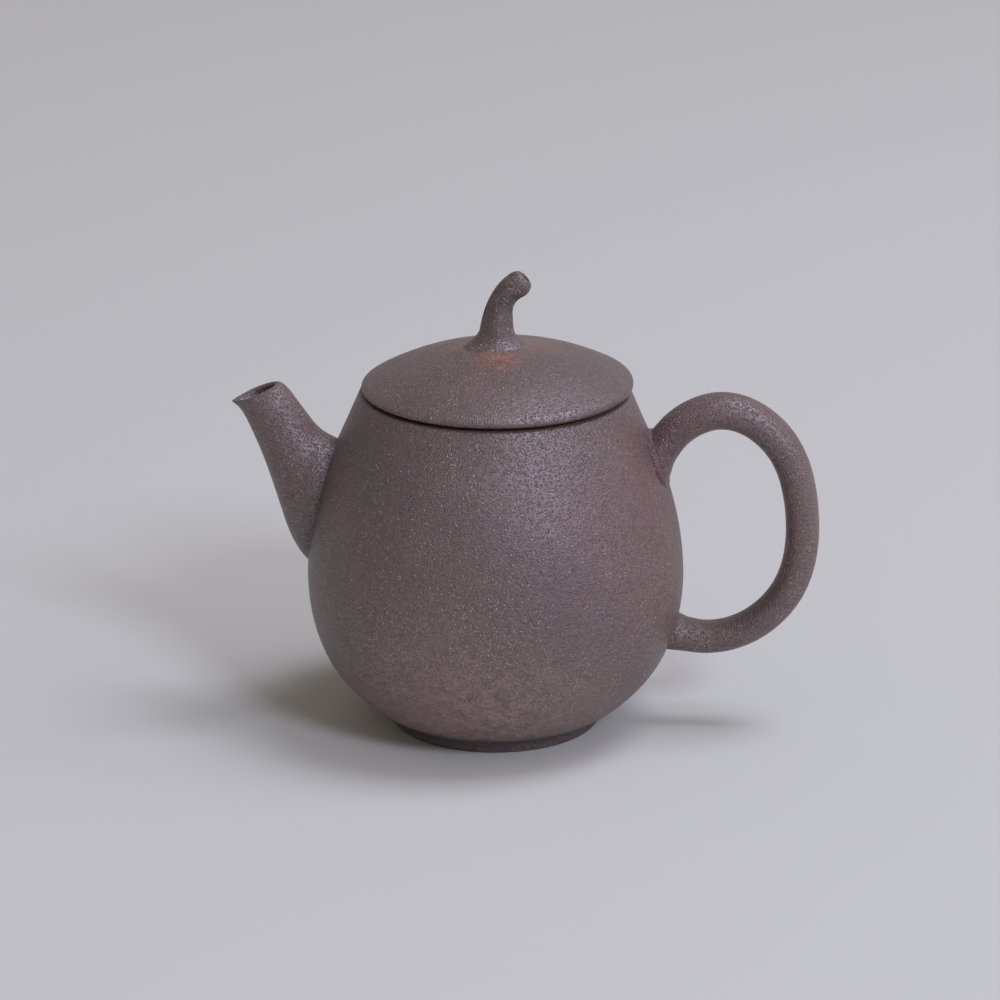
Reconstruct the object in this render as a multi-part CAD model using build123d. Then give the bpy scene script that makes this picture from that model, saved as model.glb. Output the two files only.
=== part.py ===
"""An unglazed yixing clay teapot: an egg-shaped pot on a foot ring, and a loose lid with a curved stem.

The potter forms ten pieces of clay and lutes them together with slip: the pot from seven, the lid
from three. Millimetres. +Z is up, the origin is the centre of the foot ring on the table, the spout
points along -X and the handle along +X.
"""

import os
from math import atan2, cos, degrees, pi, radians, sin

from build123d import *

# ---- Driving dimensions --------------------------------------------------------------------------
FOOT_HEIGHT = 2.6
FOOT_OUTER_R = 23.2
FOOT_INNER_R = 19.4
FOOT_EDGE = 0.7  # rounding where the foot meets the table

BASE_R = 21.5
BASE_THICKNESS = 2.8
WALL = 3.0

MOUTH_Z = 76.0  # the ground flat that the lid rests on
MOUTH_OUTER_R = 29.55
MOUTH_EDGE = 0.45
MOUTH_RING_DEPTH = 3.4
MOUTH_BORE_R = 22.7

# Outside of the pot as (radius, height), from the foot up to the mouth.
BODY_OUTLINE = [
    (23.7, FOOT_HEIGHT),
    (31.4, 8.0),
    (38.4, 18.0),
    (41.5, 34.0),
    (39.0, 52.0),
    (34.0, 66.0),
    (MOUTH_OUTER_R, MOUTH_Z),
]

# The spout is a straight tapered tube. Its axis leans outward from the vertical.
SPOUT_LEAN = 28.0
SPOUT_TOP = (-51.6, 74.7)  # (x, z) where the axis leaves the mouth
SPOUT_CUT_SLOPE = 23.0  # the mouth is cut so that it falls towards the lip
SPOUT_CUT_POINT = (-47.6, 76.3)
# (distance down the axis, outer radius, radius of the channel, shift towards the lip)
SPOUT_STATIONS = [
    (-4.0, 6.1, 4.9, 2.1),
    (4.0, 5.8, 4.2, 0.15),
    (12.0, 6.75, 4.9, 0.0),
    (20.0, 8.0, 5.9, 0.0),
    (28.0, 9.4, 7.0, 0.0),
    (36.0, 10.3, 7.8, 0.0),
    (44.0, 8.2, 6.0, 0.0),
]

# The strainer is a pierced dome that bulges into the pot behind the spout.
STRAINER_Z = 50.0
STRAINER_R = 7.6
STRAINER_WALL = 1.3
STRAINER_HOLE_R = 0.75
STRAINER_RINGS = [(1, 0.0), (6, 23.0), (12, 46.0)]  # (number of holes, degrees off the dome's axis)
SPOUT_HOLE_R = 6.0  # the hole in the wall that the strainer covers

# Handle stations as (x, z, heading, thickness in the loop's plane, width across it).
HANDLE_STATIONS = [
    (32.6, 58.2, 22.0, 15.0, 12.5),
    (37.5, 63.8, 50.0, 9.4, 10.6),
    (41.8, 69.8, 38.0, 8.1, 10.2),
    (48.2, 72.7, 12.0, 7.9, 10.0),
    (56.4, 70.9, -32.0, 7.8, 10.0),
    (62.6, 65.2, -55.0, 7.7, 10.0),
    (66.2, 56.2, -76.0, 7.4, 9.9),
    (67.4, 45.6, -91.0, 7.2, 9.8),
    (66.0, 36.0, -107.0, 7.2, 9.7),
    (61.6, 27.6, -129.0, 7.1, 9.5),
    (53.6, 21.7, -157.0, 6.9, 9.2),
    (45.6, 20.3, -181.0, 6.9, 9.0),
    (37.5, 21.6, -195.0, 8.4, 9.8),
]

# Outside of the lid as (radius, height), from the middle to the rim.
LID_OUTLINE = [(0.0, 87.3), (10.0, 85.5), (20.0, 82.7), (26.5, 79.9), (29.6, 77.6)]
LID_R = 29.85
LID_RIM_Z = 77.0
LID_EDGE_R = 29.1  # where the rounded rim comes down onto the flat
LID_HOLLOW_R = 20.0
LID_HOLLOW = [(18.8, 78.6), (11.0, 81.6), (0.0, 83.6)]

COLLAR_OUTER_R = 22.4
COLLAR_WALL = 2.2
COLLAR_DEPTH = 6.4
COLLAR_EDGE = 0.5

# The stem stands on the lid and bends over. Stations as (distance out, z, heading, radius).
STEM_AZIMUTH = 6.0  # turned from the handle's direction
STEM_STATIONS = [
    (0.0, 84.0, 90.0, 8.2),
    (0.0, 86.7, 90.0, 5.6),
    (0.1, 88.6, 89.0, 4.0),
    (0.3, 91.0, 86.0, 3.5),
    (0.8, 94.4, 76.0, 3.1),
    (2.1, 97.4, 62.0, 2.8),
    (4.6, 99.8, 42.0, 2.9),
]
STEM_TIP_R = 3.0
STEM_TIP = (4.8, 99.9)
VENT_R = 0.8
# The vent runs from the hollow of the lid up the stem and out of its tip.
VENT_ROUTE = [(0.0, 82.0), (0.3, 92.0), (1.6, 97.0), (4.8, 99.9), (8.6, 103.4)]
VENT_BENDS = [14.0, 6.0, 4.0]

os.makedirs("parts", exist_ok=True)


# ---- Shared shapes -------------------------------------------------------------------------------
def inward(points, distance):
    """The points of an outline, each moved towards the axis along the outline's normal there."""
    moved = []
    for i, (r, z) in enumerate(points):
        r0, z0 = points[max(i - 1, 0)]
        r1, z1 = points[min(i + 1, len(points) - 1)]
        angle = atan2(z1 - z0, r1 - r0) + pi / 2
        moved.append((r + distance * cos(angle), z + distance * sin(angle)))
    return moved


def turned(*edges):
    """A solid of revolution about Z from edges that close a section in the XZ plane."""
    return revolve(make_face([*edges]), Axis.Z)


def outline(points):
    """A smooth curve through (radius, height) points."""
    return Spline(*[(r, 0, z) for r, z in points])


def corner_line(*points):
    """Straight edges through (radius, height) points."""
    return Polyline(*[(r, 0, z) for r, z in points])


def section_plane(x, z, heading):
    """A plane across the XZ plane's heading at a point, with its x axis along Y."""
    angle = radians(heading)
    return Plane(origin=(x, 0, z), x_dir=(0, 1, 0), z_dir=(cos(angle), 0, sin(angle)))


def disc_section(x, z, heading, radius):
    """A round section facing a heading in the XZ plane."""
    return section_plane(x, z, heading) * Circle(radius)


def body_outside():
    """Everything within the pot's outer surface, up to the mouth."""
    return turned(
        outline(BODY_OUTLINE),
        corner_line(BODY_OUTLINE[-1], (0, MOUTH_Z), (0, FOOT_HEIGHT), BODY_OUTLINE[0]),
    )


def inner_outline():
    """The pot's inner surface as (radius, height) points, from the base up to the mouth."""
    points = inward(BODY_OUTLINE, WALL)
    points[0] = (BASE_R, FOOT_HEIGHT + BASE_THICKNESS)
    points[-1] = (MOUTH_OUTER_R - WALL, MOUTH_Z)
    return points


def body_inside():
    """The hollow of the pot, from the base to the mouth."""
    points = inner_outline()
    return turned(
        outline(points),
        corner_line(points[-1], (0, MOUTH_Z), (0, points[0][1]), points[0]),
    )


def wall_at(z):
    """Radius of the pot's outer surface at a height, and the elevation of its outward normal in degrees."""
    edge = outline(BODY_OUTLINE)
    share = min((abs((edge @ (i / 400)).Z - z), i / 400) for i in range(401))[1]
    point = edge @ share
    along = edge % share
    return point.X, degrees(atan2(-along.X, along.Z))


# ---- The pot -------------------------------------------------------------------------------------
def spout_axis_point(distance, shift=0.0):
    """(x, z) on the spout's axis, shifted across it towards the lip."""
    lean = radians(SPOUT_LEAN)
    x = SPOUT_TOP[0] + distance * sin(lean) - shift * cos(lean)
    z = SPOUT_TOP[1] - distance * cos(lean) - shift * sin(lean)
    return x, z


def spout_solid(radii):
    """A tapered round solid along the spout's axis, with one radius at each station."""
    heading = -90 + SPOUT_LEAN
    places = [spout_axis_point(distance, shift) for distance, _, _, shift in SPOUT_STATIONS]
    return loft([disc_section(x, z, heading, r) for (x, z), r in zip(places, radii)])


def spout_cut():
    """A block above the slanting plane of the spout's mouth."""
    x, z = SPOUT_CUT_POINT
    slope = radians(SPOUT_CUT_SLOPE)
    plane = Plane(origin=(x, 0, z), x_dir=(0, 1, 0), z_dir=(-sin(slope), 0, cos(slope)))
    return plane * Box(60, 60, 30, align=(Align.CENTER, Align.CENTER, Align.MIN))


def spout_hole():
    """The round hole through the wall behind the spout, square to the wall."""
    radius, tilt = wall_at(STRAINER_Z)
    plane = Plane(origin=(-radius, 0, STRAINER_Z), z_dir=(-cos(radians(tilt)), 0, sin(radians(tilt))))
    return plane * Cylinder(SPOUT_HOLE_R, 4 * WALL)


def make_body_wall():
    points = inner_outline()
    wall = turned(
        outline(BODY_OUTLINE),
        corner_line(BODY_OUTLINE[-1], points[-1]),
        outline(points),
        corner_line(points[0], (BASE_R, FOOT_HEIGHT), BODY_OUTLINE[0]),
    )
    rim = wall.edges().filter_by(GeomType.CIRCLE).group_by(Axis.Z)[-1].sort_by(SortBy.RADIUS)[-1]
    return fillet(rim, MOUTH_EDGE) - spout_hole()


def make_base_disc():
    return Pos(0, 0, FOOT_HEIGHT + BASE_THICKNESS / 2) * Cylinder(BASE_R, BASE_THICKNESS)


def make_foot_ring():
    ring = turned(
        corner_line(
            (FOOT_INNER_R, 0),
            (FOOT_OUTER_R, 0),
            (FOOT_OUTER_R, FOOT_HEIGHT),
            (FOOT_INNER_R, FOOT_HEIGHT),
            (FOOT_INNER_R, 0),
        )
    )
    return fillet(ring.edges().filter_by(GeomType.CIRCLE).group_by(Axis.Z)[0], FOOT_EDGE)


def make_mouth_ring():
    block = Pos(0, 0, MOUTH_Z - MOUTH_RING_DEPTH / 2) * Cylinder(MOUTH_OUTER_R, MOUTH_RING_DEPTH)
    bore = Pos(0, 0, MOUTH_Z) * Cylinder(MOUTH_BORE_R, 4 * MOUTH_RING_DEPTH)
    return (block & body_inside()) - bore


def make_spout(outside):
    outer = spout_solid([outer_r for _, outer_r, _, _ in SPOUT_STATIONS])
    channel = spout_solid([channel_r for _, _, channel_r, _ in SPOUT_STATIONS])
    return outer - channel - spout_cut() - outside


def make_strainer(inside):
    radius, tilt = wall_at(STRAINER_Z)
    reach = radius - WALL / cos(radians(tilt))
    centre = Vector(-reach, 0, STRAINER_Z)
    dome = Pos(centre) * (Sphere(STRAINER_R) - Sphere(STRAINER_R - STRAINER_WALL))
    dome = dome & inside
    inwards = Plane(origin=centre, z_dir=(cos(radians(tilt)), 0, -sin(radians(tilt))))
    for count, off_axis in STRAINER_RINGS:
        for i in range(count):
            hole = inwards * Rot(0, 0, 360 * i / count) * Rot(0, off_axis, 0)
            dome -= hole * Pos(0, 0, STRAINER_R) * Cylinder(STRAINER_HOLE_R, 3 * STRAINER_WALL)
    return dome


def make_handle(outside):
    sections = [
        section_plane(x, z, heading) * Ellipse(width / 2, thick / 2)
        for x, z, heading, thick, width in HANDLE_STATIONS
    ]
    return loft(sections) - outside


# ---- The lid -------------------------------------------------------------------------------------
def lid_outside():
    """Everything within the lid's outer surface, down to the flat that rests on the mouth."""
    rim = ThreePointArc(
        (LID_OUTLINE[-1][0], 0, LID_OUTLINE[-1][1]),
        (LID_R, 0, LID_RIM_Z),
        (LID_EDGE_R, 0, MOUTH_Z),
    )
    underside = corner_line((LID_EDGE_R, MOUTH_Z), (0, MOUTH_Z), LID_OUTLINE[0])
    return turned(outline(LID_OUTLINE), rim, underside)


def lid_hollow():
    """The hollow under the lid, inside the collar."""
    points = [(LID_HOLLOW_R, MOUTH_Z), *LID_HOLLOW]
    return turned(outline(points), corner_line(LID_HOLLOW[-1], (0, MOUTH_Z), points[0]))


def vent_bore():
    """The vent hole, as a solid that follows the stem."""
    route = FilletPolyline(*[(x, 0, z) for x, z in VENT_ROUTE], radius=VENT_BENDS)
    start = Plane(origin=route @ 0, z_dir=route % 0)
    return Rot(0, 0, STEM_AZIMUTH) * sweep(start * Circle(VENT_R), path=route)


def make_lid_disc(lid_solid):
    return lid_solid - lid_hollow() - vent_bore()


def make_lid_collar():
    inner = COLLAR_OUTER_R - COLLAR_WALL
    low = MOUTH_Z - COLLAR_DEPTH
    ring = turned(
        corner_line(
            (inner, low),
            (COLLAR_OUTER_R, low),
            (COLLAR_OUTER_R, MOUTH_Z),
            (inner, MOUTH_Z),
            (inner, low),
        )
    )
    return fillet(ring.edges().filter_by(GeomType.CIRCLE).group_by(Axis.Z)[0], COLLAR_EDGE)


def make_lid_stem(lid_solid):
    shaft = loft([disc_section(x, z, heading, r) for x, z, heading, r in STEM_STATIONS])
    tip = Pos(STEM_TIP[0], 0, STEM_TIP[1]) * Sphere(STEM_TIP_R)
    stem = Rot(0, 0, STEM_AZIMUTH) * (shaft + tip)
    return stem - lid_solid - vent_bore()


def main():
    outside = body_outside()
    inside = body_inside()
    lid_solid = lid_outside()
    made = {
        "body_wall": make_body_wall(),
        "base_disc": make_base_disc(),
        "foot_ring": make_foot_ring(),
        "mouth_ring": make_mouth_ring(),
        "spout": make_spout(outside),
        "strainer_dome": make_strainer(inside),
        "handle": make_handle(outside),
        "lid_disc": make_lid_disc(lid_solid),
        "lid_collar": make_lid_collar(),
        "lid_stem": make_lid_stem(lid_solid),
    }
    for node, shape in made.items():
        export_step(shape, f"parts/{node}.step")


main()
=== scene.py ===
"""An unglazed yixing clay teapot with a loose lid, as a Blender add-on that is run as a script.

Every piece of clay is modelled on its own, in the frame of the CAD model: metres, +Z up, the foot ring's
centre at the origin, the spout along -X and the handle along +X. Lengths inside the modelling functions are
in millimetres, and put_in_place() turns them to metres.
"""

from math import atan2, cos, hypot, pi, radians, sin, sqrt

import bmesh
import bpy
from bpy.props import FloatProperty, FloatVectorProperty, PointerProperty
from mathutils import Matrix, Vector, noise


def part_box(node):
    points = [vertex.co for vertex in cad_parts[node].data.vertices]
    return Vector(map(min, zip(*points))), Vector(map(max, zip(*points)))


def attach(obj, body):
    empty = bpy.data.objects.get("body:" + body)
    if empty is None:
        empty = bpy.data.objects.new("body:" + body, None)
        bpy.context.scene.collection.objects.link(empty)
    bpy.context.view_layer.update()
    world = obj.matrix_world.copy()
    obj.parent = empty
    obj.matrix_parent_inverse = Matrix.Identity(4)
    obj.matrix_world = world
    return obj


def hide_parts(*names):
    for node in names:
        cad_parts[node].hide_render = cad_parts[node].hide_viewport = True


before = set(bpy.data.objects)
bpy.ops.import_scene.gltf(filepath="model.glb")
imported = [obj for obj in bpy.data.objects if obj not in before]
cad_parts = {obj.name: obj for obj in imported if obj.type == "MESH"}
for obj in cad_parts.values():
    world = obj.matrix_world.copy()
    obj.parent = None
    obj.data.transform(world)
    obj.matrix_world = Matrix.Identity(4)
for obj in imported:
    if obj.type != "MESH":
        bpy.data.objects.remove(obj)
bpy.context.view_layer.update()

bl_info = {
    "name": "Yixing clay teapot",
    "version": (1, 0, 0),
    "blender": (4, 5, 0),
    "location": "3D View > Sidebar > Teapot",
    "description": "Models an unglazed clay teapot with a loose lid around its CAD frame",
    "category": "Add Mesh",
}

MM = 0.001
POT, LID_SEAT, LID = "pot", "lid_seat", "lid"
HAND_SEED = 5  # draws the field that the beaten surfaces wander by


# ---- Colours and sizes a user would change -----------------------------------------------------------------
def linear(hex_colour):
    """An sRGB hex colour as linear red, green and blue."""
    parts = [int(hex_colour[i : i + 2], 16) / 255 for i in (1, 3, 5)]
    return tuple(c / 12.92 if c <= 0.04045 else ((c + 0.055) / 1.055) ** 2.4 for c in parts)


def length(name, description, default_mm):
    """A property for a length, with its default in millimetres."""
    return FloatProperty(name=name, description=description, default=default_mm * MM, min=0, unit="LENGTH")


def colour(name, description, hex_colour):
    """A property for a colour, with its default as an sRGB hex value."""
    return FloatVectorProperty(
        name=name, description=description, default=linear(hex_colour), subtype="COLOR", min=0, max=1
    )


def power(name, description, default):
    """A property for the strength of a light."""
    return FloatProperty(name=name, description=description, default=default, min=0)


class TeapotSizes(bpy.types.PropertyGroup):
    """Lengths of the pot that don't come from the CAD frame."""

    wall: length("Wall", "Thickness of the side wall", 3.0)
    mouth_edge: length("Mouth edge", "Rounding of the mouth's outer edge", 0.45)
    handwork: length("Handwork", "How far the surface wanders from true, as hand-beaten clay does", 0.16)
    strainer_hole: length("Strainer hole", "Radius of the hole in the wall behind the spout", 6.0)


class TeapotClay(bpy.types.PropertyGroup):
    """Colours of the fired clay, some of them also laid on as painted shade and painted bounce light."""

    ground: colour("Ground", "Main colour of the clay", "#684c44")
    shade: colour("Shade", "Darker, browner clay in the broad mottling", "#56403a")
    flush: colour("Flush", "Orange where the kiln's air reached the clay", "#a3623f")
    # Painted bounce light: a paler, redder tone laid on the low front of the belly, where the floor's light
    # falls.
    painted_bounce_light: colour("Bisque", "Paler clay low on the belly", "#967468")
    wine: colour("Wine", "Wine red where the clay was half sheltered", "#633a3d")
    pale_grain: colour("Pale grain", "Grains of pale sand in the clay", "#cbb9a6")
    # Dark grains and pits, and also painted shade: on the foot, the left of the belly, the handle's upper
    # root, the lid's front left and inside the vent, besides the stem's darker clay.
    dark_grain_and_painted_shade: colour("Dark grain", "Pits and dark iron grains", "#3a271f")
    sheen: colour("Sheen", "Cool tint of the gloss on the rubbed surface", "#e6eafb")


class TeapotStage(bpy.types.PropertyGroup):
    """Floor colour and lights."""

    paper: colour("Paper", "Colour of the floor and the backdrop, one sweep of paper", "#d0cdc7")
    key_power: power("Key light", "Power of the large light on the handle's side", 12.0)
    top_power: power("Top light", "Power of the light overhead", 20.0)
    fill_power: power("Front light", "Power of the light in front", 31.0)
    sky: power("Room light", "Strength of the room's even light", 0.27)


# ---- Lines and surfaces that several pieces share ----------------------------------------------------------
# Outside of the pot as (radius, height), from the foot to the mouth.
BELLY = [
    (23.7, 2.6),
    (24.7, 3.1),
    (26.5, 4.15),
    (31.3, 8.0),
    (36.3, 14.0),
    (39.8, 22.0),
    (41.45, 32.0),
    (41.0, 42.0),
    (39.0, 52.0),
    (35.65, 62.0),
    (32.2, 70.0),
    (29.6, 76.0),
]
# Outside of the lid as (radius, height), from the rim to the middle.
DOME = [
    (29.62, 77.95),
    (29.0, 78.6),
    (27.8, 79.3),
    (26.0, 80.2),
    (22.0, 82.0),
    (16.0, 84.0),
    (10.0, 85.55),
    (4.0, 86.85),
    (0.0, 87.3),
]
SEAT_Z = 76.0  # the plane where the lid rests on the mouth
LID_LEAN = 0.023  # the lid's top rises by this much of a length towards +X
LID_ASIDE = 0.43  # the lid's disc is this far off its axis towards +X
HOLE_Z = 50.0  # height of the hole behind the spout
TURN_STEPS = 144  # facets round a turned piece
RING_POINTS = 72  # around the spout and the handle
LUTED_DEPTH = 0.08  # an edge that is luted to the wall is sunk in it by this much


def smooth_line(stations, steps):
    """A smooth line through stations, which are tuples of one length, with steps between each two.

    Neighbours are weighed by the distance between their first two numbers, so uneven spacing stays smooth.
    """
    stations = [tuple(map(float, s)) for s in stations]
    gaps = [max(hypot(b[0] - a[0], b[1] - a[1]), 1e-6) for a, b in zip(stations, stations[1:])]
    rates = [[(q - p) / gap for p, q in zip(a, b)] for a, b, gap in zip(stations, stations[1:], gaps)]
    slopes = [rates[0]]
    for left, right, before, after in zip(rates, rates[1:], gaps, gaps[1:]):
        slopes.append([(p * after + q * before) / (before + after) for p, q in zip(left, right)])
    slopes.append(rates[-1])
    line = []
    for a, b, start, end, gap in zip(stations, stations[1:], slopes, slopes[1:], gaps):
        for i in range(steps):
            t = i / steps
            weights = (2 * t**3 - 3 * t**2 + 1, t**3 - 2 * t**2 + t, 3 * t**2 - 2 * t**3, t**3 - t**2)
            line.append(
                tuple(
                    weights[0] * p + weights[1] * gap * u + weights[2] * q + weights[3] * gap * v
                    for p, u, q, v in zip(a, start, b, end)
                )
            )
    return line + [stations[-1]]


def offset(line, distance):
    """A line of (radius, height) points moved to its left by a distance."""
    moved = []
    for i, (r, z) in enumerate(line):
        r0, z0 = line[max(i - 1, 0)]
        r1, z1 = line[min(i + 1, len(line) - 1)]
        angle = atan2(z1 - z0, r1 - r0) + pi / 2
        moved.append((r + distance * cos(angle), z + distance * sin(angle)))
    return moved


def read(line, value, at=0):
    """The station of a line where its number at an index reaches a value."""
    if line[0][at] > line[-1][at]:
        line = line[::-1]
    for a, b in zip(line, line[1:]):
        if value <= b[at]:
            break
    share = (value - a[at]) / max(b[at] - a[at], 1e-9)
    return tuple(p + share * (q - p) for p, q in zip(a, b))


BELLY_LINE = smooth_line(BELLY, 8)
DOME_LINE = smooth_line(DOME, 6)


def belly_radius(z):
    """The outside radius of the pot at a height."""
    return read(BELLY_LINE, z, 1)[0]


def lid_top(x, y):
    """The height of the lid's top, which leans and sits a little off its axis."""
    return read(DOME_LINE, hypot(x - LID_ASIDE, y))[1] + LID_LEAN * x


def belly_normal(point):
    """The direction out of the pot's wall at a point on it."""
    near = 0.3  # the slope is read this far above and below the point
    slope = (belly_radius(point.z + near) - belly_radius(point.z - near)) / (2 * near)
    return Vector((point.x, point.y, -slope * hypot(point.x, point.y))).normalized()


def on_belly(y, z, side):
    """The point of the wall at a height and a distance across. side is 1 by the handle, -1 by the spout."""
    return Vector((side * sqrt(belly_radius(z) ** 2 - y**2), y, z))


# ---- Modelling ---------------------------------------------------------------------------------------------
def turn(line, closed=True):
    """A bmesh of a line of (radius, height) points turned about Z. A closed line joins its ends."""
    bm = bmesh.new()
    points = [bm.verts.new((r, 0, z)) for r, z in line]
    pairs = list(zip(points, points[1:])) + ([(points[-1], points[0])] if closed else [])
    for a, b in pairs:
        bm.edges.new((a, b))
    bmesh.ops.spin(
        bm,
        geom=bm.verts[:] + bm.edges[:],
        cent=(0, 0, 0),
        axis=(0, 0, 1),
        angle=2 * pi,
        steps=TURN_STEPS,
        use_merge=True,
    )
    return mended(bm)


def mended(bm):
    """The bmesh with its doubles merged and its faces pointing outwards."""
    bmesh.ops.remove_doubles(bm, verts=bm.verts[:], dist=1e-4)
    bmesh.ops.recalc_face_normals(bm, faces=bm.faces[:])
    return bm


def soften(bm, corners, width, segments=3):
    """Rounds the edges that lie on the corners' rings. A corner is a (radius, height) point."""
    near = 0.02
    rings = [
        e
        for e in bm.edges
        if any(
            all(abs(hypot(v.co.x, v.co.y) - r) < near and abs(v.co.z - z) < near for v in e.verts)
            for r, z in corners
        )
    ]
    bmesh.ops.bevel(
        bm, geom=rings, offset=width, segments=segments, profile=0.5, affect="EDGES", material=-1
    )
    return bm


def skin(rings, closed=True):
    """A bmesh that bridges rings, which are lists of points of one count. A closed skin has filled ends."""
    bm = bmesh.new()
    loops = []
    for ring in rings:
        made = bmesh.ops.create_circle(bm, segments=len(ring), radius=1)["verts"]
        for vert, place in zip(made, ring):
            vert.co = place
        loops.append(made)
    edges = [[e for e in bm.edges if e.verts[0] in set(loop) and e.verts[1] in set(loop)] for loop in loops]
    for a, b in zip(edges, edges[1:]):
        bmesh.ops.bridge_loops(bm, edges=a + b)
    if closed:
        for loop in (edges[0], edges[-1]):
            bmesh.ops.edgeloop_fill(bm, edges=loop)
    return mended(bm)


def oval(centre, heading, thick, width, count, squareness=0.0):
    """A ring across a heading in the XZ plane. thick is measured in that plane and width along Y.

    squareness is the share by which the ring swells between its four ends.
    """
    angle = radians(heading)
    across = Vector((-sin(angle), 0, cos(angle)))
    ring = []
    for i in range(count):
        turned = 2 * pi * i / count
        c, s = cos(turned), sin(turned)
        swell = 1 + squareness * (2 * c * s) ** 2
        ring.append(centre + across * (c * swell * thick / 2) + Vector((0, s * swell * width / 2, 0)))
    return ring


def flare(wall_ring, wall_out, tube_ring, tube_out, steps):
    """Rings that run smoothly from a wall into a tube.

    wall_out and tube_out have a vector for each point, the way its line leaves the wall and enters the tube.
    """
    rings = []
    for k in range(steps):
        t = k / steps
        a, b, c, d = (1 - t) ** 3, 3 * t * (1 - t) ** 2, 3 * t * t * (1 - t), t**3
        rings.append(
            [
                p * a + (p + u) * b + (q - v) * c + q * d
                for p, u, q, v in zip(wall_ring, wall_out, tube_ring, tube_out)
            ]
        )
    return rings


def hole_ring(radius, surface, count):
    """A ring on a turned surface, around the hole behind the spout. surface gives a radius for a height."""
    ring = []
    for i in range(count):
        angle = 2 * pi * i / count
        y, z = radius * sin(angle), HOLE_Z - radius * cos(angle)
        ring.append(Vector((-sqrt(surface(z) ** 2 - y**2), y, z)))
    return ring


def pierce(bm, radius, surfaces):
    """Makes the hole behind the spout through a wall with an outside and an inside surface."""
    margin = radius + 2.5  # the faces up to here are made again around the hole
    near = [
        f
        for f in bm.faces
        if f.calc_center_median().x < 0
        and hypot(f.calc_center_median().y, f.calc_center_median().z - HOLE_Z) < margin
    ]
    bmesh.ops.delete(bm, geom=near, context="FACES")
    open_edges = [e for e in bm.edges if e.is_boundary]

    def past_middle(place):
        """How far a place is outside the middle of the wall."""
        return hypot(*place.xy) - sum(surface(place.z) for surface in surfaces) / 2

    bores = []
    for side, surface in zip((1, -1), surfaces):
        rim = [e for e in open_edges if past_middle(e.verts[0].co) * side > 0]
        made = bmesh.ops.create_circle(bm, segments=len(rim), radius=1)["verts"]
        for vert, point in zip(made, hole_ring(radius, surface, len(rim))):
            vert.co = point
        bore = [e for e in bm.edges if e.verts[0] in set(made) and e.verts[1] in set(made)]
        bmesh.ops.bridge_loops(bm, edges=rim + bore)
        bores += bore
    bmesh.ops.bridge_loops(bm, edges=bores)
    return mended(bm)


def by_hand(bm, amount):
    """Lets the surface wander a little, as beaten clay does, but keeps the lid's seat and the foot true."""
    stroke = 26  # how long one swell of the surface is
    seat_margin, foot_margin = 6, 10  # the wandering fades out over these heights
    upwards = 0.3  # the share of it that is left up and down
    noise.seed_set(HAND_SEED)
    for vert in bm.verts:
        away = min(abs(vert.co.z - SEAT_Z) / seat_margin, 1)
        drift = noise.noise_vector(vert.co / stroke) * amount * away * away
        drift.z *= upwards * min(vert.co.z / foot_margin, 1)
        vert.co += drift
    return bm


def put_in_place(bm, name, body, nodes, clay, sharp=40):
    """Makes a piece of a bmesh in millimetres, and puts it on its body in place of its CAD nodes."""
    bmesh.ops.scale(bm, vec=(MM, MM, MM), verts=bm.verts[:])
    mesh = bpy.data.meshes.new(name)
    bm.to_mesh(mesh)
    bm.free()
    mesh.shade_smooth()
    mesh.set_sharp_from_angle(angle=radians(sharp))
    piece = bpy.data.objects.new(name, mesh)
    bpy.context.scene.collection.objects.link(piece)
    mesh.materials.append(clay)
    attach(piece, body)
    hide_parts(*nodes)
    return piece


# ---- Clay --------------------------------------------------------------------------------------------------
# Noises in the clay: the width of a cell in millimetres, the detail and the roughness.
CLAY_NOISES = {
    "patches": (35, 3, 0.55),  # broad mottling from the fire
    "mottle": (2.2, 4, 0.7),  # what breaks the mottling up
    "crowd": (22, 2, 0.5),  # where the pale sand crowds
    "waves": (7, 1, 0.5),  # the scraper's long shallow waves
    "fine_sand": (0.22, 1, 0.5),  # between the grains, as coarse as it needs to be to show
}
GRAIN = 0.42  # width of a grain of 40 mesh sand, one to a cell
PALE_SHARE = 0.2  # of the grains, where they crowd most
DARK_SHARE = 0.06  # of the grains, which are iron or have left a pit
# What stands up from the clay, by how many millimetres, and how much of it goes with the skin's relief.
CLAY_RELIEF = [("waves", 0.1, 0.0), ("fine_sand", 0.08, 1.0), ("domes", 0.19, 1.0)]
CLAY_IOR = 1.58


def add(tree, kind, inputs=None, **settings):
    """Adds a node with its settings. Each input is given a value or linked to another node's socket."""
    node = tree.nodes.new(kind)
    for key, value in settings.items():
        setattr(node, key, value)
    for key, value in (inputs or {}).items():
        if isinstance(value, bpy.types.NodeSocket):
            tree.links.new(value, node.inputs[key])
        else:
            node.inputs[key].default_value = value
    return node


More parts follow.
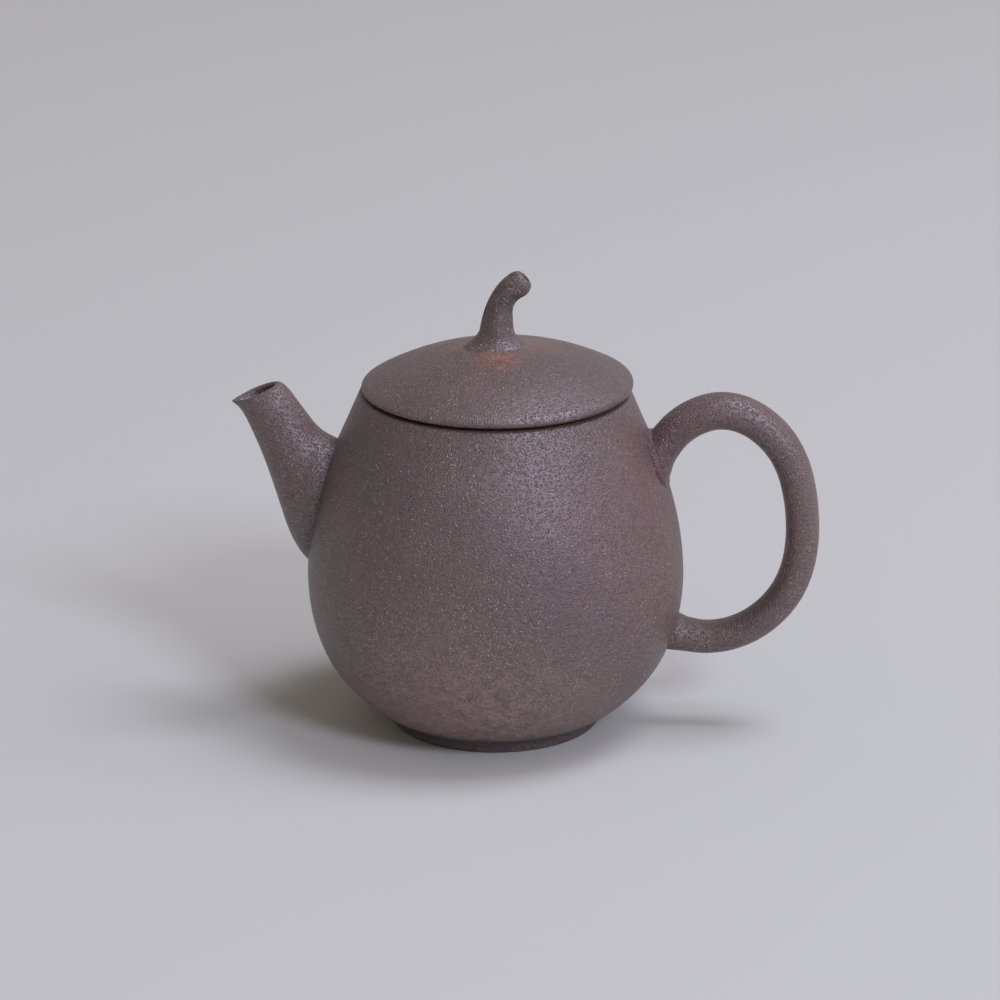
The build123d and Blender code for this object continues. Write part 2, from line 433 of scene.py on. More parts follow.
def fired_clay(name, flushes=(), burnish=0.5, relief=1.0):
    """Zisha: sandy stoneware clay, scraped, rubbed with horn and fired unglazed.

    The fired sand stands proud as a fine pear skin with pale grains in it, and the rubbing leaves a low satin
    sheen on the grains' tops. flushes are (tone, centre in mm, reach in mm, strength) of the places that the
    fire turned, and of painted shade and painted bounce light. burnish is how much the clay was rubbed, and
    relief is how proud its sand stands. The clay darkens towards the floor at the foot as painted shade.
    """
    found = bpy.data.materials.get(name)
    if found:
        return found
    clay = bpy.context.scene.teapot_clay
    material = bpy.data.materials.new(name)
    material.use_nodes = True
    tree = material.node_tree
    tree.nodes.clear()

    # What the looks are worked out from, by name: heights, noises, and each grain's middle and its own draws.
    place = add(tree, "ShaderNodeTexCoord").outputs["Object"]
    grains = add(tree, "ShaderNodeTexVoronoi", {"Vector": place, "Scale": 1 / MM / GRAIN, "Randomness": 1.0})
    draws = add(tree, "ShaderNodeSeparateColor", {"Color": grains.outputs["Color"]}).outputs
    parts = {
        "height": add(tree, "ShaderNodeSeparateXYZ", {"Vector": place}).outputs["Z"],
        "from_middle": grains.outputs["Distance"],
        "draw": draws[0],
        "tint_draw": draws[1],
    }
    for key, (size, detail, roughness) in CLAY_NOISES.items():
        inputs = {"Vector": place, "Scale": 1 / MM / size, "Detail": detail, "Roughness": roughness}
        parts[key] = add(tree, "ShaderNodeTexNoise", inputs).outputs["Fac"]

    # Shares, which run smoothly from 0 at their first limit to 1 at their second.
    shares = [
        ("patchy", "patches", 0.38, 0.66),
        ("speckled", "mottle", 0.35, 0.7),
        ("broken", "mottle", 0.3, 0.62),
        ("crowded", "crowd", 0.25, 0.7),
        # Painted shade: the clay darkens below these heights, for the contact shadow under the pot.
        ("foot", "height", 6.2 * MM, 3.3 * MM),
        ("above_foot", "height", 2.5 * MM, 5.0 * MM),
        ("core", "from_middle", 0.47, 0.25),
        ("domes", "from_middle", 0.6, 0.0),
    ]
    # Sums, in order. Where a name comes again, it stands for its last result.
    sums = [
        ("speckled", "MULTIPLY", "speckled", 0.25),
        # How dark the painted shade at the foot gets.
        ("foot", "MULTIPLY", "foot", 0.95),
        ("crowded", "MULTIPLY", "crowded", "low"),
        ("crowded", "MULTIPLY", "crowded", "above_foot"),
        ("pale_limit", "MULTIPLY", "crowded", PALE_SHARE),
        ("pale", "LESS_THAN", "draw", "pale_limit"),
        ("pale", "MULTIPLY", "pale", "core"),
        ("pale", "MULTIPLY", "pale", 0.8),
        ("dark", "GREATER_THAN", "draw", 1 - DARK_SHARE),
        ("dark", "MULTIPLY", "dark", "core"),
        ("dark", "MULTIPLY", "dark", 0.6),
        ("tint", "MULTIPLY", "tint_draw", 0.15),
    ]
    # Tones laid over the ground, in order: the mottling, the flushes (some of them painted shade and painted
    # bounce light), painted shade darkening the foot towards the floor, and the sand.
    layers = [("patchy", "shade"), ("speckled", "shade")]
    for i, (tone, (x, y, z), reach, strength) in enumerate(flushes):
        centre = (x * MM, y * MM, z * MM)
        gap = add(tree, "ShaderNodeVectorMath", {0: place, 1: centre}, operation="DISTANCE")
        parts[f"gap_{i}"] = gap.outputs["Value"]
        shares.append((f"near_{i}", f"gap_{i}", reach * MM, reach * MM * 0.15))
        sums.append((f"flush_{i}", "MULTIPLY", f"near_{i}", "broken"))
        sums.append((f"flush_{i}", "MULTIPLY", f"flush_{i}", strength))
        layers.append((f"flush_{i}", tone))
    layers += [("foot", "dark_grain_and_painted_shade"), ("tint", "pale_grain"), ("dark", "dark_grain_and_painted_shade"), ("pale", "pale_grain")]

    for key, source, low, high in shares:
        inputs = {"Value": parts[source], "From Min": low, "From Max": high}
        smooth = add(tree, "ShaderNodeMapRange", inputs, interpolation_type="SMOOTHSTEP")
        parts[key] = smooth.outputs["Result"]
    # Pale sand shows most low on the belly, where less of it was rubbed in.
    inputs = {"Value": parts["height"], "From Min": 66 * MM, "From Max": 34 * MM}
    inputs |= {"To Min": 0.45, "To Max": 1.0}
    parts["low"] = add(tree, "ShaderNodeMapRange", inputs).outputs["Result"]
    for key, operation, a, b in sums:
        inputs = {0: parts.get(a, a), 1: parts.get(b, b)}
        parts[key] = add(tree, "ShaderNodeMath", inputs, operation=operation).outputs[0]
    tone_now = (*clay.ground, 1)
    for key, tone in layers:
        inputs = {0: parts[key], 6: tone_now, 7: (*getattr(clay, tone), 1)}
        tone_now = add(tree, "ShaderNodeMix", inputs, data_type="RGBA").outputs[2]

    rise = {}
    for key, stands, skin_share in CLAY_RELIEF:
        distance = stands * MM * (1 + (relief - 1) * skin_share)
        inputs = {"Strength": 1.0, "Distance": distance, "Height": parts[key], **rise}
        rise = {"Normal": add(tree, "ShaderNodeBump", inputs).outputs["Normal"]}
    # Rubbing makes the clay smoother and brings the gloss up.
    smoother = 0.5 * burnish
    inputs = {"Value": parts["mottle"], "From Min": 0.3, "From Max": 0.7}
    inputs |= {"To Min": 0.63 - smoother, "To Max": 0.7 - smoother}
    rough = add(tree, "ShaderNodeMapRange", inputs).outputs["Result"]
    inputs = {
        "Base Color": tone_now,
        "Roughness": rough,
        "IOR": CLAY_IOR,
        "Specular IOR Level": 0.4 + 1.2 * burnish,
        "Specular Tint": (*clay.sheen, 1),
        **rise,
    }
    shader = add(tree, "ShaderNodeBsdfPrincipled", inputs)
    add(tree, "ShaderNodeOutputMaterial", {"Surface": shader.outputs["BSDF"]})
    return material


def pot_clay():
    """The clay of the pot: wine red by the handle, with painted bounce light that makes it paler low on the
    front of the belly, and painted shade on the left of the belly and at the handle's upper root.
    """
    return fired_clay(
        "zisha_clay_pot",
        flushes=[
            ("wine", (35, -6, 64), 22, 1.0),
            ("wine", (31, -24, 45), 36, 0.65),
            # Painted shade on the left of the belly, the side turned away from the lights.
            ("dark_grain_and_painted_shade", (-34, -18, 58), 34, 0.25),
            # Painted shade at the handle's upper root, darkening the handle and the wall where they meet.
            ("dark_grain_and_painted_shade", (39, 0, 66), 12, 0.4),
            # Painted bounce light: a paler, redder tone on the low front of the belly, where the floor's
            # light falls.
            ("painted_bounce_light", (-2, -26, 9), 40, 0.9),
            ("wine", (-50, -6, 62), 16, 0.25),
        ],
    )


def lid_clay():
    """The clay of the lid: an orange-red flush in front of the stem, and painted shade on its front left."""
    return fired_clay(
        "zisha_clay_lid",
        burnish=0.56,
        relief=0.9,
        flushes=[
            ("wine", (-18, -6, 83), 30, 0.45),
            # Painted shade on the lid's front left, the side turned away from the lights.
            ("dark_grain_and_painted_shade", (-13, -26, 79), 22, 0.5),
            ("flush", (1.5, -8, 86), 7.5, 0.8),
            ("flush", (9, 2, 86), 8, 0.35),
            ("flush", (-8.5, 1, 86), 5, 0.5),
        ],
    )


def stem_clay():
    """The clay of the stem, a little darker from the maker's wet fingers."""
    return fired_clay("zisha_clay_stem", relief=0.7, flushes=[("dark_grain_and_painted_shade", (2, 0, 97), 13, 0.9)])


def painted_shade_vent_clay():
    """The clay inside the stem's vent, darkened all over as painted shade in the hole."""
    return fired_clay("zisha_clay_vent_painted_shade", burnish=0.0, flushes=[("dark_grain_and_painted_shade", (5, 0, 100), 40, 1.0)])


def inside_clay():
    """The clay inside the pot, which the maker left scraped and matt."""
    return fired_clay("zisha_clay_inside", burnish=0.0)


# ---- The pot -----------------------------------------------------------------------------------------------
INSIDE_MARGINS = (0.8, 1.0)  # the wall's inside runs from above the base to below the seat by these


class TEAPOT_OT_wall(bpy.types.Operator):
    """Turns the beaten side wall, with the hole behind the spout"""

    bl_idname = "teapot.wall"
    bl_label = "Side wall"

    def execute(self, context):
        sizes = context.scene.teapot_sizes
        wall = sizes.wall / MM
        base_top, base_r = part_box("base_disc")[1].z / MM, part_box("base_disc")[1].x / MM
        mouth_r = BELLY[-1][0]
        low, high = base_top + INSIDE_MARGINS[0], SEAT_Z - INSIDE_MARGINS[1]
        inner = [(r, z) for r, z in offset(BELLY_LINE, wall) if low < z < high]
        line = BELLY_LINE + [(mouth_r - wall, SEAT_Z)] + inner[::-1]
        line += [(base_r, base_top), (base_r, BELLY[0][1])]
        bm = turn(line)
        soften(bm, [(mouth_r, SEAT_Z)], sizes.mouth_edge / MM)
        pierce(bm, sizes.strainer_hole / MM, [belly_radius, lambda z: read(inner, z, 1)[0]])
        put_in_place(by_hand(bm, sizes.handwork / MM), "side_wall", POT, ["body_wall"], pot_clay())
        return {"FINISHED"}


FOOT_WIDTH = 3.8  # of the ring that stands on the table
FOOT_BEAD = [(0.0, 1.3), (0.12, 0.6), (0.5, 0.0)]  # how far it swells, at how far below its top
FOOT_ROUNDING = 0.7
BASE_DISH = 0.35  # the base disc was pressed in by this much at its middle
BASE_FLAT = (0.6, 0.7)  # at this share of its radius it still has this share of the dish


class TEAPOT_OT_foot(bpy.types.Operator):
    """Turns the foot ring and the base disc it is luted to"""

    bl_idname = "teapot.foot"
    bl_label = "Foot and base"

    def execute(self, context):
        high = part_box("foot_ring")[1]
        outer, top = high.x / MM, high.z / MM
        inner = outer - FOOT_WIDTH
        bead = [(outer + swell, top - drop) for swell, drop in FOOT_BEAD]
        ring = turn([(inner, 0.0), (outer, 0.0)] + bead + [(inner, top)])
        soften(ring, [(inner, 0.0), (outer, 0.0)], FOOT_ROUNDING, 4)
        put_in_place(ring, "foot_band", POT, ["foot_ring"], pot_clay())

        low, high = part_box("base_disc")
        disc_r, bottom, top = high.x / MM, low.z / MM, high.z / MM
        flat_r, flat_dish = BASE_FLAT
        line = [(0.0, bottom + BASE_DISH), (disc_r * flat_r, bottom + BASE_DISH * flat_dish)]
        line += [(disc_r, bottom), (disc_r, top), (0.0, top)]
        put_in_place(turn(line, closed=False), "base_plate", POT, ["base_disc"], inside_clay())
        return {"FINISHED"}


MOUTH_BORE = 22.7  # radius that the lid's collar drops into
MOUTH_SLOPE = (0.9, 0.6)  # width and height of the slope under the mouth ring's bore
MOUTH_SPREAD = 1.2  # the ring is this much wider at its bottom, where the wall is wider
MOUTH_ROUNDING = 0.3


class TEAPOT_OT_mouth(bpy.types.Operator):
    """Turns the ring luted inside the mouth"""

    bl_idname = "teapot.mouth"
    bl_label = "Mouth ring"

    def execute(self, context):
        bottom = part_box("mouth_ring")[0].z / MM
        outer = BELLY[-1][0] - context.scene.teapot_sizes.wall / MM
        slope = [(MOUTH_BORE, bottom + MOUTH_SLOPE[1]), (MOUTH_BORE + MOUTH_SLOPE[0], bottom)]
        ring = turn([(MOUTH_BORE, SEAT_Z)] + slope + [(outer + MOUTH_SPREAD, bottom), (outer, SEAT_Z)])
        soften(ring, [(MOUTH_BORE, SEAT_Z)] + slope, MOUTH_ROUNDING)
        put_in_place(ring, "mouth_band", POT, ["mouth_ring"], inside_clay())
        return {"FINISHED"}


SPOUT_LEAN = 28.0  # degrees from the upright
SPOUT_TOP = (-51.6, 74.7)  # x and z of the mouth's middle
# The spout's stations: (distance down its axis, shift towards the lip, half length in the XZ plane, half
# width along Y).
SPOUT_OUTSIDE = [
    (0.0, 1.45, 5.45, 3.6),
    (0.3, 1.12, 5.68, 4.1),
    (1.1, 0.65, 5.68, 4.75),
    (2.6, 0.22, 5.68, 5.3),
    (5.0, 0.04, 5.84, 5.75),
    (8.0, -0.05, 6.12, 6.1),
    (12.3, -0.12, 6.62, 6.65),
    (17.5, -0.05, 7.35, 7.5),
    (24.0, 0.0, 8.6, 8.6),
    (30.0, 0.0, 9.8, 9.4),
]
SPOUT_INSIDE = [
    (0.12, 1.6, 5.12, 3.3),
    (0.45, 1.3, 4.5, 3.05),
    (1.2, 0.85, 4.0, 3.2),
    (2.6, 0.5, 3.85, 3.5),
    (5.0, 0.35, 4.0, 3.9),
    (9.0, 0.1, 4.5, 4.5),
    (16.0, 0.0, 5.4, 5.4),
    (24.0, 0.0, 6.2, 6.2),
]
# Rings down the outside: (middle distance down the axis, how much further down the lip's side is).
SPOUT_RINGS = [(down, 0.0) for down in (0.0, 0.12, 0.3, 0.65, 1.1, 1.8, 2.6)] + [
    (3.8, 0.2),
    (5.0, 0.5),
    (6.6, 1.1),
    (8.2, 1.9),
    (10.0, 3.0),
    (12.0, 4.3),
    (14.4, 5.8),
    (17.0, 7.4),
    (19.5, 8.9),
]
BEAK_DEPTH = 4  # the lip is drawn out to a beak down to here
BEAK_PINCH = 0.42  # the mouth is this much narrower at the lip
BEAK_POINT = 0.1  # the very tip reaches this much further
MOUTH_RISE = 0.2  # the mouth stands above its middle station by this much
MOUTH_TILT = 0.075  # and rises towards the lip by this much of its length
SPOUT_ROOT = (49.8, 13.9, 9.6)  # height of the joint's middle on the wall, half height, half width


def spout_ring(line, down, tilt=0.0):
    """A ring of the spout, drawn out to a beak at the lip near the mouth."""
    lean = radians(SPOUT_LEAN)
    along = Vector((sin(lean), 0, -cos(lean)))
    outwards = Vector((-cos(lean), 0, -sin(lean)))
    top = Vector((SPOUT_TOP[0], 0, SPOUT_TOP[1]))
    ring = []
    for i in range(RING_POINTS):
        angle = 2 * pi * i / RING_POINTS
        c, s = cos(angle), sin(angle)
        depth, shift, half, width = read(line, down + tilt * c)
        beak = max(1 - depth / BEAK_DEPTH, 0)
        pinch = 1 - BEAK_PINCH * beak * max(c, 0) ** 2
        reach = shift + half * c + BEAK_POINT * beak * max(c, 0) ** 8
        rise = (MOUTH_RISE + MOUTH_TILT * reach) * beak
        ring.append(top + along * (depth - rise) + outwards * reach + Vector((0, width * s * pinch, 0)))
    return ring


def spout_root():
    """The ring where the spout is luted to the wall, how it leaves the wall, and how fast it meets the tube.

    The lower side is drawn up along the spout, and the upper side comes straight out of the wall.
    """
    middle, tall, wide = SPOUT_ROOT
    lean = radians(SPOUT_LEAN)
    up_axis = Vector((-sin(lean), 0, cos(lean)))
    ring, outs, paces = [], [], []
    for i in range(RING_POINTS):
        angle = 2 * pi * i / RING_POINTS
        point = on_belly(wide * sin(angle), middle - tall * cos(angle), -1)
        upper = (1 - cos(angle)) / 2
        normal = belly_normal(point)
        ring.append(point - normal * LUTED_DEPTH)
        outs.append(normal * (1.2 + 2.0 * upper) + up_axis * 2.0 * (1 - upper))
        paces.append(3.6 - 0.4 * upper)
    return ring, outs, paces


class TEAPOT_OT_spout(bpy.types.Operator):
    """Draws the tapered spout, its pouring lip and its channel"""

    bl_idname = "teapot.spout"
    bl_label = "Spout"

    def execute(self, context):
        hole = context.scene.teapot_sizes.strainer_hole / MM
        outside, inside = smooth_line(SPOUT_OUTSIDE, 6), smooth_line(SPOUT_INSIDE, 6)
        tube = [spout_ring(outside, down, tilt) for down, tilt in SPOUT_RINGS][::-1]
        root, outs, paces = spout_root()
        ends = [(b - a).normalized() * pace for a, b, pace in zip(tube[0], tube[1], paces)]
        rings = flare(root, outs, tube[0], ends, 12) + tube
        rings += [spout_ring(inside, station[0]) for station in inside[::2]]
        rings += [hole_ring(hole, belly_radius, RING_POINTS), root]
        bm = by_hand(skin(rings, closed=False), context.scene.teapot_sizes.handwork / MM)
        put_in_place(bm, "spout_tube", POT, ["spout"], pot_clay(), sharp=70)
        return {"FINISHED"}


class TEAPOT_OT_strainer(bpy.types.Operator):
    """Gives the pierced ball strainer its clay"""

    bl_idname = "teapot.strainer"
    bl_label = "Ball strainer"

    def execute(self, context):
        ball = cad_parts["strainer_dome"]
        ball.data.materials.clear()
        ball.data.materials.append(inside_clay())
        return {"FINISHED"}


# The handle's stations: (x, z, heading in degrees, thickness in the loop's plane, width across it).
HANDLE = [
    (36.5, 62.8, 22.0, 11.0, 12.0),
    (37.55, 65.1, 25.0, 9.2, 11.1),
    (39.5, 67.9, 35.0, 8.0, 10.5),
    (42.0, 70.1, 33.0, 7.85, 10.2),
    (44.6, 71.6, 26.0, 7.8, 10.1),
    (48.2, 72.7, 11.0, 7.85, 10.0),
    (52.3, 72.55, -12.0, 7.8, 10.0),
    (56.4, 70.95, -30.0, 7.75, 10.0),
    (59.8, 68.4, -44.0, 7.7, 10.0),
    (62.6, 65.2, -54.0, 7.6, 10.0),
    (65.15, 60.4, -68.0, 7.5, 9.9),
    (66.7, 54.8, -80.0, 7.4, 9.9),
    (67.45, 49.0, -88.0, 7.3, 9.8),
    (67.45, 42.5, -95.0, 7.3, 9.8),
    (66.5, 36.8, -107.0, 7.25, 9.7),
    (64.3, 31.3, -119.0, 7.2, 9.6),
    (60.5, 26.3, -134.0, 7.1, 9.5),
    (55.4, 22.5, -152.0, 7.0, 9.4),
    (49.8, 20.5, -170.0, 6.95, 9.3),
    (45.4, 20.2, -183.0, 7.0, 9.3),
    (42.5, 20.6, -187.0, 7.2, 9.5),
]
HANDLE_TOP_ROOT = (61.45, 6.4, 6.4)  # height of the joint's middle on the wall, half height, half width
HANDLE_LOW_ROOT = (21.3, 4.0, 5.1)
HANDLE_LIFTS = (0.9, 0.6)  # how fast its clay leaves the wall at the two roots
HANDLE_PACES = (0.5, -0.8)  # and meets the loop, along the loop's heading
HANDLE_SQUARENESS = 0.03


def handle_root(root, lift):
    """A ring where the handle is luted to the wall, and the way its clay leaves the wall at each point."""
    middle, tall, wide = root
    turns = [2 * pi * i / RING_POINTS for i in range(RING_POINTS)]
    ring = [on_belly(wide * sin(a), middle + tall * cos(a), 1) for a in turns]
    normals = [belly_normal(point) for point in ring]
    return [p - n * LUTED_DEPTH for p, n in zip(ring, normals)], [n * lift for n in normals]


class TEAPOT_OT_handle(bpy.types.Operator):
    """Bends the ear-shaped handle between its two roots on the wall"""

    bl_idname = "teapot.handle"
    bl_label = "Handle"

    def execute(self, context):
        loop = [
            oval(Vector((x, 0, z)), heading, thick, width, RING_POINTS, HANDLE_SQUARENESS)
            for x, z, heading, thick, width in smooth_line(HANDLE, 6)
        ]
        headings = [radians(HANDLE[0][2]), radians(HANDLE[-1][2])]
        meets = [Vector((cos(a), 0, sin(a))) * pace for a, pace in zip(headings, HANDLE_PACES)]
        top_ring, top_outs = handle_root(HANDLE_TOP_ROOT, HANDLE_LIFTS[0])
        low_ring, low_outs = handle_root(HANDLE_LOW_ROOT, HANDLE_LIFTS[1])
        # The lower root meets the loop upside down, so its points run the other way round the heading.
        order = [(RING_POINTS // 2 - i) % RING_POINTS for i in range(RING_POINTS)]
        low_ring, low_outs = [low_ring[i] for i in order], [low_outs[i] for i in order]
        rings = flare(top_ring, top_outs, loop[0], [meets[0]] * RING_POINTS, 5) + loop
        rings += flare(low_ring, low_outs, loop[-1], [meets[1]] * RING_POINTS, 5)[::-1]
        bm = by_hand(skin(rings), context.scene.teapot_sizes.handwork / MM)
        put_in_place(bm, "ear_handle", POT, ["handle"], pot_clay(), sharp=70)
        return {"FINISHED"}


# ---- The lid -----------------------------------------------------------------------------------------------
# The rounding under the lid's rim, the hollow under the lid, and the hole up into the stem's vent.
LID_RIM = [(26.9, SEAT_Z), (27.9, SEAT_Z + 0.42), (29.0, SEAT_Z + 0.75), (29.68, SEAT_Z + 1.4)]
LID_HOLLOW = [(0.9, 83.6), (6.0, 83.1), (11.0, 81.6), (16.5, 79.6), (19.0, 78.0), (20.0, SEAT_Z)]
LID_VENT = [(0.9, DOME[-1][1] - 0.1)]
LID_TRUE_RADIUS = 20.5  # the hollow and the collar inside this radius stay true
LID_LEAN_START, LID_ASIDE_START = 2.5, 0.625  # the lean and the shift come in over these heights
COLLAR_WALL = 2.2
COLLAR_ROUNDING = 0.5


class TEAPOT_OT_lid(bpy.types.Operator):
    """Turns the domed lid and the collar under it"""

    bl_idname = "teapot.lid"
    bl_label = "Lid and collar"

    def execute(self, context):
        bm = turn(smooth_line(LID_RIM + DOME[:-1], 5) + LID_VENT + smooth_line(LID_HOLLOW, 5))
        for vert in bm.verts:
            if vert.normal.z > 0.1 or hypot(vert.co.x, vert.co.y) > LID_TRUE_RADIUS:
                above = max(vert.co.z - SEAT_Z, 0)
                vert.co.z += LID_LEAN * vert.co.x * min(above / LID_LEAN_START, 1)
                vert.co.x += LID_ASIDE * min(above / LID_ASIDE_START, 1)
        by_hand(bm, context.scene.teapot_sizes.handwork / MM)
        put_in_place(bm, "lid_cover", LID, ["lid_disc"], lid_clay())

        low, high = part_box("lid_collar")
        outer, bottom = high.x / MM, low.z / MM
        inner = outer - COLLAR_WALL
        collar = turn([(inner, bottom), (outer, bottom), (outer, SEAT_Z), (inner, SEAT_Z)])
        soften(collar, [(inner, bottom), (outer, bottom)], COLLAR_ROUNDING, 4)
        put_in_place(collar, "lid_flange", LID_SEAT, ["lid_collar"], inside_clay())
        return {"FINISHED"}


# The stem's stations: (distance out from the axis, height, heading in degrees, radius).
STEM = [
    (0.3, 90.0, 89.0, 3.75),
    (0.36, 91.2, 87.0, 3.55),
    (0.62, 93.4, 81.0, 3.2),
    (1.08, 95.5, 73.0, 2.88),
    (1.9, 97.25, 64.0, 2.74),
    (3.2, 98.85, 53.0, 2.82),
    (4.75, 100.05, 42.0, 2.92),
    (5.5, 100.7, 42.0, 2.78),
    (6.1, 101.24, 42.0, 2.38),
    (6.45, 101.56, 42.0, 1.9),
    (6.6, 101.7, 42.0, 1.4),
]
VENT = [(6.56, 101.66, 42.0, 1.15), (6.0, 101.15, 42.0, 0.95), (3.0, 98.6, 46.0, 0.8)]
VENT_REACH = 1.12  # the vent's own faces are this close to its axis
STEM_TURN = 6.0  # the stem leans this many degrees round from +X
STEM_ROOT = (6.95, 5.4)  # half length and half width of the pad luted to the lid
STEM_POINTS = 48  # around the stem
STEM_SUNK = 0.05  # the pad's edge is sunk in the lid by this much
STEM_LEAVES = (1.2, 0.75)  # how fast its clay goes inwards and up from the pad's edge
STEM_MEETS = 1.1  # and up where it meets the neck


class TEAPOT_OT_stem(bpy.types.Operator):
    """Pulls the curved stem, the lid's knob, with its vent hole"""

    bl_idname = "teapot.stem"
    bl_label = "Stem knob"

    def execute(self, context):
        turned = Matrix.Rotation(radians(STEM_TURN), 3, "Z")
        stations = smooth_line(STEM, 4) + smooth_line(VENT, 3)
        loop = [
            [turned @ point for point in oval(Vector((x, 0, z)), heading, 2 * r, 2 * r, STEM_POINTS)]
            for x, z, heading, r in stations
        ]
        root, outs = [], []
        inwards, upwards = STEM_LEAVES
        for i in range(STEM_POINTS):
            angle = 2 * pi * i / STEM_POINTS
            point = turned @ Vector((-STEM_ROOT[0] * cos(angle), STEM_ROOT[1] * sin(angle), 0))
            outs.append(-point.normalized() * inwards + Vector((0, 0, upwards)))
            point.z = lid_top(point.x, point.y) - STEM_SUNK
            root.append(point)
        bm = skin(flare(root, outs, loop[0], [Vector((0, 0, STEM_MEETS))] * STEM_POINTS, 9) + loop)
        mouth, deep = (turned @ Vector((x, 0, z)) for x, z, _, _ in (VENT[0], VENT[-1]))
        along = (mouth - deep).normalized()
        for face in bm.faces:
            gap = face.calc_center_median() - deep
            # The vent's faces get the dark clay, which is painted shade in the hole.
            if (gap - along * gap.dot(along)).length < VENT_REACH:
                face.material_index = 1
        stem = put_in_place(bm, "gourd_stem", LID, ["lid_stem"], stem_clay(), sharp=60)
        stem.data.materials.append(painted_shade_vent_clay())
        return {"FINISHED"}


# ---- Stage, in metres --------------------------------------------------------------------------------------
SWEEP_REACH = 3.0  # from the pot to the paper's front and sides
SWEEP_FLOOR = 1.2  # from the pot back to where the paper starts to rise
SWEEP_BEND = 0.9  # radius of its bend
SWEEP_HEIGHT = 2.5
LIGHTS_AIM = Vector((0, 0, 0.05))
CAMERA_AZIMUTH = 5.0
CAMERA_ELEVATION = 19.16
CAMERA_DISTANCE = 1.0
CAMERA_TARGET_Z = 0.05072
CAMERA_ASIDE = 0.001  # the camera aims this far to the right of the pot's axis
CAMERA_LENS = 163.5


def area_light(name, place, size, strength, tint):
    """A square area light that faces the pot."""
    data = bpy.data.lights.new(name, "AREA")
    data.size = size
    data.energy = strength
    data.color = linear(tint)
    lamp = bpy.data.objects.new(name, data)
    bpy.context.scene.collection.objects.link(lamp)
    lamp.location = place
    lamp.rotation_euler = (LIGHTS_AIM - Vector(place)).to_track_quat("-Z", "Y").to_euler()


def paper_sweep(tone):
    """A sheet of matt paper that lies under the pot and bends up behind it."""
    paper = bpy.data.materials.new("matt_paper")
    paper.use_nodes = True
    shader = paper.node_tree.nodes["Principled BSDF"]
    shader.inputs["Base Color"].default_value = (*tone, 1)
    shader.inputs["Roughness"].default_value = 0.9
    shader.inputs["Specular IOR Level"].default_value = 0.1
    bm = bmesh.new()
    turns = [pi / 2 * i / 12 for i in range(13)]
    line = [(-SWEEP_REACH, 0.0)]
    line += [(SWEEP_FLOOR + SWEEP_BEND * sin(a), SWEEP_BEND * (1 - cos(a))) for a in turns]
    line += [(SWEEP_FLOOR + SWEEP_BEND, SWEEP_HEIGHT)]
    points = [bm.verts.new((-SWEEP_REACH, y, z)) for y, z in line]
    edges = [bm.edges.new(pair) for pair in zip(points, points[1:])]
    swept = bmesh.ops.extrude_edge_only(bm, edges=edges)["geom"]
    moved = [v for v in swept if isinstance(v, bmesh.types.BMVert)]
    bmesh.ops.translate(bm, vec=(2 * SWEEP_REACH, 0, 0), verts=moved)
    bmesh.ops.recalc_face_normals(bm, faces=bm.faces[:])
    mesh = bpy.data.meshes.new("paper_sweep")
    bm.to_mesh(mesh)
    bm.free()
    mesh.shade_smooth()
    mesh.materials.append(paper)
    sweep = bpy.data.objects.new("paper_sweep", mesh)
    bpy.context.scene.collection.objects.link(sweep)


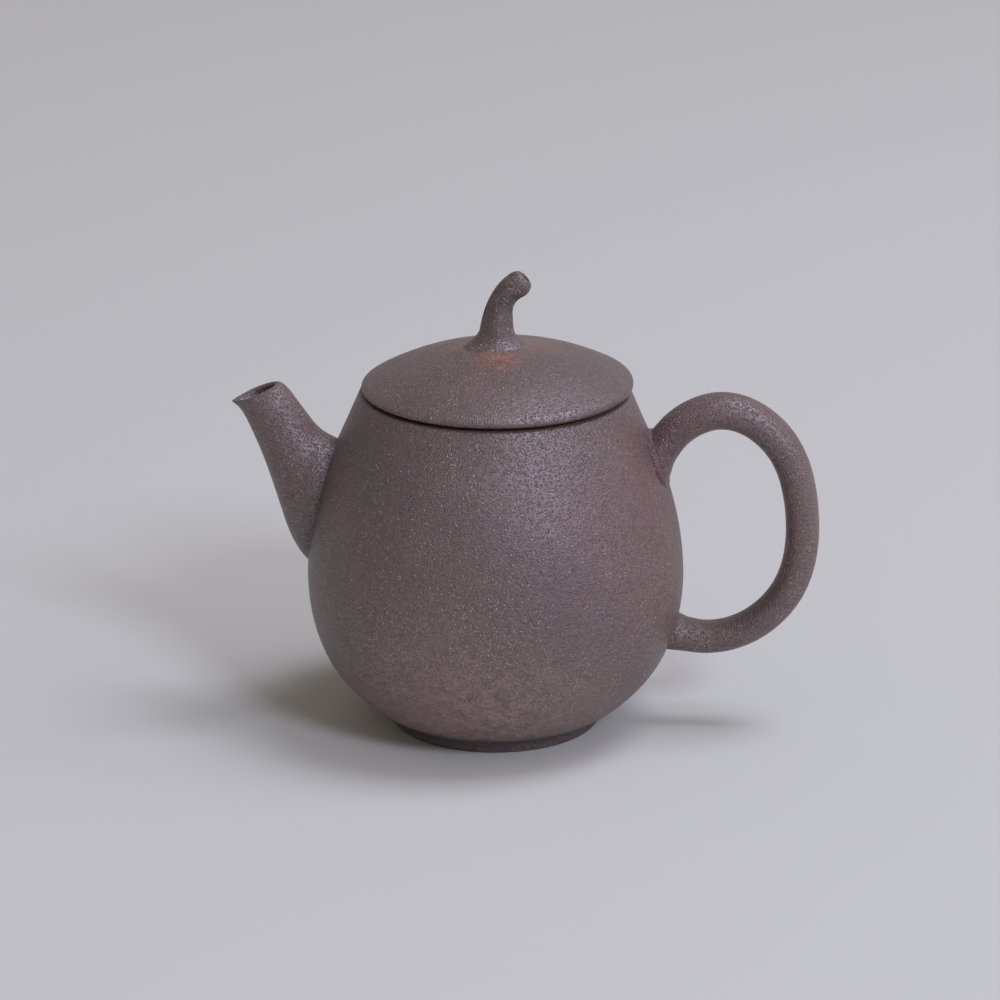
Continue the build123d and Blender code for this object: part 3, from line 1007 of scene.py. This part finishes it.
class TEAPOT_OT_stage(bpy.types.Operator):
    """Sets the pale paper sweep, the soft lights and the camera"""

    bl_idname = "teapot.stage"
    bl_label = "Stage"

    def execute(self, context):
        scene, stage = context.scene, context.scene.teapot_stage
        paper_sweep(stage.paper)
        area_light("window_light", (2.0, -0.1, 1.5), 2.4, stage.key_power, "#f3f0ff")
        area_light("top_light", (0.7, 0.1, 1.95), 0.8, stage.top_power, "#e2e8ff")
        area_light("front_light", (1.35, -1.75, 1.6), 0.6, stage.fill_power, "#dbe4ff")

        world = bpy.data.worlds.new("soft_room")
        world.use_nodes = True
        background = world.node_tree.nodes["Background"].inputs
        background["Color"].default_value = (*linear("#fff9f0"), 1)
        background["Strength"].default_value = stage.sky
        scene.world = world
        scene.view_settings.view_transform = "Standard"

        a, e = radians(CAMERA_AZIMUTH), radians(CAMERA_ELEVATION)
        back = Vector((sin(a) * cos(e), -cos(a) * cos(e), sin(e)))
        aside = Vector((cos(a), sin(a), 0)) * CAMERA_ASIDE
        data = bpy.data.cameras.new("camera")
        data.lens = CAMERA_LENS
        camera = bpy.data.objects.new("camera", data)
        scene.collection.objects.link(camera)
        camera.location = Vector((0, 0, CAMERA_TARGET_Z)) + aside + back * CAMERA_DISTANCE
        camera.rotation_euler = (-back).to_track_quat("-Z", "Y").to_euler()
        scene.camera = camera
        return {"FINISHED"}


# ---- The add-on --------------------------------------------------------------------------------------------
class TEAPOT_PT_panel(bpy.types.Panel):
    """Lists the teapot's pieces and its stage"""

    bl_idname = "TEAPOT_PT_panel"
    bl_label = "Teapot"
    bl_space_type = "VIEW_3D"
    bl_region_type = "UI"
    bl_category = "Teapot"

    def draw(self, context):
        for operator in OPERATORS:
            self.layout.operator(operator.bl_idname)
        for group in GROUPS:
            for name in group.__annotations__:
                self.layout.prop(getattr(context.scene, GROUPS[group]), name)


OPERATORS = [
    TEAPOT_OT_wall,
    TEAPOT_OT_foot,
    TEAPOT_OT_mouth,
    TEAPOT_OT_spout,
    TEAPOT_OT_strainer,
    TEAPOT_OT_handle,
    TEAPOT_OT_lid,
    TEAPOT_OT_stem,
    TEAPOT_OT_stage,
]
GROUPS = {TeapotSizes: "teapot_sizes", TeapotClay: "teapot_clay", TeapotStage: "teapot_stage"}


def register():
    """Registers the properties, the operators and the panel."""
    for group, name in GROUPS.items():
        bpy.utils.register_class(group)
        setattr(bpy.types.Scene, name, PointerProperty(type=group))
    for cls in [*OPERATORS, TEAPOT_PT_panel]:
        bpy.utils.register_class(cls)


def unregister():
    """Takes them away again."""
    for cls in [TEAPOT_PT_panel, *reversed(OPERATORS)]:
        bpy.utils.unregister_class(cls)
    for group, name in GROUPS.items():
        delattr(bpy.types.Scene, name)
        bpy.utils.unregister_class(group)


def main():
    """Registers the add-on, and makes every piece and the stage."""
    register()
    for operator in OPERATORS:
        group, name = operator.bl_idname.split(".")
        getattr(getattr(bpy.ops, group), name)()


if __name__ == "__main__":
    main()
